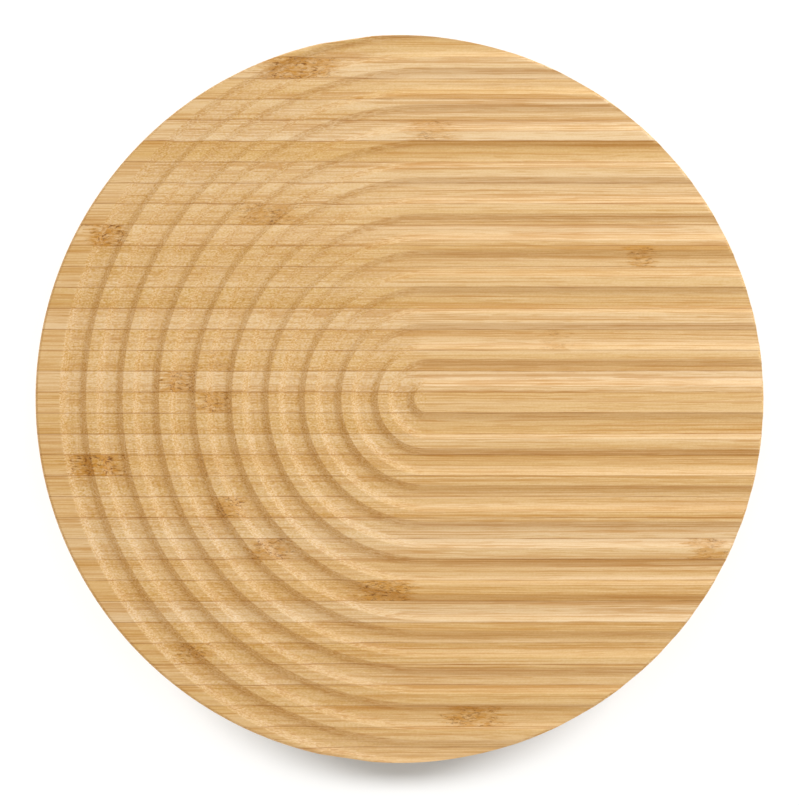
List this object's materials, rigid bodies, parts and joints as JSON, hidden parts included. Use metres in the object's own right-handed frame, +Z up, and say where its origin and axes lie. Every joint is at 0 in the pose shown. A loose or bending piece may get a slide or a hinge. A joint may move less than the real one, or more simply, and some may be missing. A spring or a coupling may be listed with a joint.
{
  "type": "lazy susan turntable",
  "caption": "Round fluted bamboo turntable board that spins on a thin steel ball swivel over a smaller round base with rubber feet.",
  "frame": {"origin": "on the spin axis, at the table surface under the feet", "axes": "+Z up along the spin axis; +X along the bamboo grain and the straight flutes, whose round ends are at -X; +Y across the grain"},
  "size_m": [0.35, 0.35, 0.037],
  "materials": {
    "bamboo_board": "satin oiled caramel bamboo in 10 mm strips",
    "bamboo_base": "satin oiled caramel bamboo in 10 mm strips",
    "zinc_plated_steel": "bright zinc plating",
    "bearing_steel": "polished",
    "screw_steel": "zinc plating",
    "nylon": "natural moulded nylon",
    "rubber": "matt moulded rubber"
  },
  "bodies": {
    "base": {"base_disc": "bamboo_base", "bearing_lower_plate": "zinc_plated_steel", "lower_plate_screws": "screw_steel", "foot_screws": "screw_steel", "rubber_foot_1": "rubber", "rubber_foot_2": "rubber", "rubber_foot_3": "rubber", "rubber_foot_4": "rubber", "foot_washer_1": "screw_steel", "foot_washer_2": "screw_steel", "foot_washer_3": "screw_steel", "foot_washer_4": "screw_steel"},
    "turntable": {"turntable_top": "bamboo_board", "bearing_upper_plate": "zinc_plated_steel", "retaining_ring": "zinc_plated_steel", "upper_plate_screws": "screw_steel"},
    "cage": {"ball_cage": "nylon"},
    "ball_01": {"ball_01": "bearing_steel"},
    "ball_02": {"ball_02": "bearing_steel"},
    "ball_03": {"ball_03": "bearing_steel"},
    "ball_04": {"ball_04": "bearing_steel"},
    "ball_05": {"ball_05": "bearing_steel"},
    "ball_06": {"ball_06": "bearing_steel"},
    "ball_07": {"ball_07": "bearing_steel"},
    "ball_08": {"ball_08": "bearing_steel"},
    "ball_09": {"ball_09": "bearing_steel"},
    "ball_10": {"ball_10": "bearing_steel"},
    "ball_11": {"ball_11": "bearing_steel"},
    "ball_12": {"ball_12": "bearing_steel"},
    "ball_13": {"ball_13": "bearing_steel"},
    "ball_14": {"ball_14": "bearing_steel"},
    "ball_15": {"ball_15": "bearing_steel"},
    "ball_16": {"ball_16": "bearing_steel"},
    "ball_17": {"ball_17": "bearing_steel"},
    "ball_18": {"ball_18": "bearing_steel"},
    "ball_19": {"ball_19": "bearing_steel"},
    "ball_20": {"ball_20": "bearing_steel"}
  },
  "joints": [
    {"name": "turntable_spin", "type": "hinge", "parent": "base", "child": "turntable", "pos_m": [0, 0, 0.019], "axis": [0, 0, 1], "continuous": true},
    {"name": "cage_orbit", "type": "hinge", "parent": "base", "child": "cage", "pos_m": [0, 0, 0.019], "axis": [0, 0, 1], "continuous": true},
    {"name": "ball_01_roll", "type": "hinge", "parent": "cage", "child": "ball_01", "pos_m": [0.036, 0, 0.019], "axis": [1, 0, 0], "continuous": true},
    {"name": "ball_02_roll", "type": "hinge", "parent": "cage", "child": "ball_02", "pos_m": [0.03424, 0.01112, 0.019], "axis": [0.9511, 0.309, 0], "continuous": true},
    {"name": "ball_03_roll", "type": "hinge", "parent": "cage", "child": "ball_03", "pos_m": [0.02913, 0.02116, 0.019], "axis": [0.809, 0.5878, 0], "continuous": true},
    {"name": "ball_04_roll", "type": "hinge", "parent": "cage", "child": "ball_04", "pos_m": [0.02116, 0.02913, 0.019], "axis": [0.5878, 0.809, 0], "continuous": true},
    {"name": "ball_05_roll", "type": "hinge", "parent": "cage", "child": "ball_05", "pos_m": [0.01112, 0.03424, 0.019], "axis": [0.309, 0.9511, 0], "continuous": true},
    {"name": "ball_06_roll", "type": "hinge", "parent": "cage", "child": "ball_06", "pos_m": [0, 0.036, 0.019], "axis": [0, 1, 0], "continuous": true},
    {"name": "ball_07_roll", "type": "hinge", "parent": "cage", "child": "ball_07", "pos_m": [-0.01112, 0.03424, 0.019], "axis": [-0.309, 0.9511, 0], "continuous": true},
    {"name": "ball_08_roll", "type": "hinge", "parent": "cage", "child": "ball_08", "pos_m": [-0.02116, 0.02913, 0.019], "axis": [-0.5878, 0.809, 0], "continuous": true},
    {"name": "ball_09_roll", "type": "hinge", "parent": "cage", "child": "ball_09", "pos_m": [-0.02913, 0.02116, 0.019], "axis": [-0.809, 0.5878, 0], "continuous": true},
    {"name": "ball_10_roll", "type": "hinge", "parent": "cage", "child": "ball_10", "pos_m": [-0.03424, 0.01112, 0.019], "axis": [-0.9511, 0.309, 0], "continuous": true},
    {"name": "ball_11_roll", "type": "hinge", "parent": "cage", "child": "ball_11", "pos_m": [-0.036, 0, 0.019], "axis": [-1, 0, 0], "continuous": true},
    {"name": "ball_12_roll", "type": "hinge", "parent": "cage", "child": "ball_12", "pos_m": [-0.03424, -0.01112, 0.019], "axis": [-0.9511, -0.309, 0], "continuous": true},
    {"name": "ball_13_roll", "type": "hinge", "parent": "cage", "child": "ball_13", "pos_m": [-0.02913, -0.02116, 0.019], "axis": [-0.809, -0.5878, 0], "continuous": true},
    {"name": "ball_14_roll", "type": "hinge", "parent": "cage", "child": "ball_14", "pos_m": [-0.02116, -0.02913, 0.019], "axis": [-0.5878, -0.809, 0], "continuous": true},
    {"name": "ball_15_roll", "type": "hinge", "parent": "cage", "child": "ball_15", "pos_m": [-0.01112, -0.03424, 0.019], "axis": [-0.309, -0.9511, 0], "continuous": true},
    {"name": "ball_16_roll", "type": "hinge", "parent": "cage", "child": "ball_16", "pos_m": [0, -0.036, 0.019], "axis": [0, -1, 0], "continuous": true},
    {"name": "ball_17_roll", "type": "hinge", "parent": "cage", "child": "ball_17", "pos_m": [0.01112, -0.03424, 0.019], "axis": [0.309, -0.9511, 0], "continuous": true},
    {"name": "ball_18_roll", "type": "hinge", "parent": "cage", "child": "ball_18", "pos_m": [0.02116, -0.02913, 0.019], "axis": [0.5878, -0.809, 0], "continuous": true},
    {"name": "ball_19_roll", "type": "hinge", "parent": "cage", "child": "ball_19", "pos_m": [0.02913, -0.02116, 0.019], "axis": [0.809, -0.5878, 0], "continuous": true},
    {"name": "ball_20_roll", "type": "hinge", "parent": "cage", "child": "ball_20", "pos_m": [0.03424, -0.01112, 0.019], "axis": [0.9511, -0.309, 0], "continuous": true}
  ],
  "couplings": [
    {"joint": "cage_orbit", "follows": "turntable_spin", "ratio": 0.5},
    {"joint": "ball_01_roll", "follows": "turntable_spin", "ratio": -7.563},
    {"joint": "ball_02_roll", "follows": "turntable_spin", "ratio": -7.563},
    {"joint": "ball_03_roll", "follows": "turntable_spin", "ratio": -7.563},
    {"joint": "ball_04_roll", "follows": "turntable_spin", "ratio": -7.563},
    {"joint": "ball_05_roll", "follows": "turntable_spin", "ratio": -7.563},
    {"joint": "ball_06_roll", "follows": "turntable_spin", "ratio": -7.563},
    {"joint": "ball_07_roll", "follows": "turntable_spin", "ratio": -7.563},
    {"joint": "ball_08_roll", "follows": "turntable_spin", "ratio": -7.563},
    {"joint": "ball_09_roll", "follows": "turntable_spin", "ratio": -7.563},
    {"joint": "ball_10_roll", "follows": "turntable_spin", "ratio": -7.563},
    {"joint": "ball_11_roll", "follows": "turntable_spin", "ratio": -7.563},
    {"joint": "ball_12_roll", "follows": "turntable_spin", "ratio": -7.563},
    {"joint": "ball_13_roll", "follows": "turntable_spin", "ratio": -7.563},
    {"joint": "ball_14_roll", "follows": "turntable_spin", "ratio": -7.563},
    {"joint": "ball_15_roll", "follows": "turntable_spin", "ratio": -7.563},
    {"joint": "ball_16_roll", "follows": "turntable_spin", "ratio": -7.563},
    {"joint": "ball_17_roll", "follows": "turntable_spin", "ratio": -7.563},
    {"joint": "ball_18_roll", "follows": "turntable_spin", "ratio": -7.563},
    {"joint": "ball_19_roll", "follows": "turntable_spin", "ratio": -7.563},
    {"joint": "ball_20_roll", "follows": "turntable_spin", "ratio": -7.563}
  ]
}
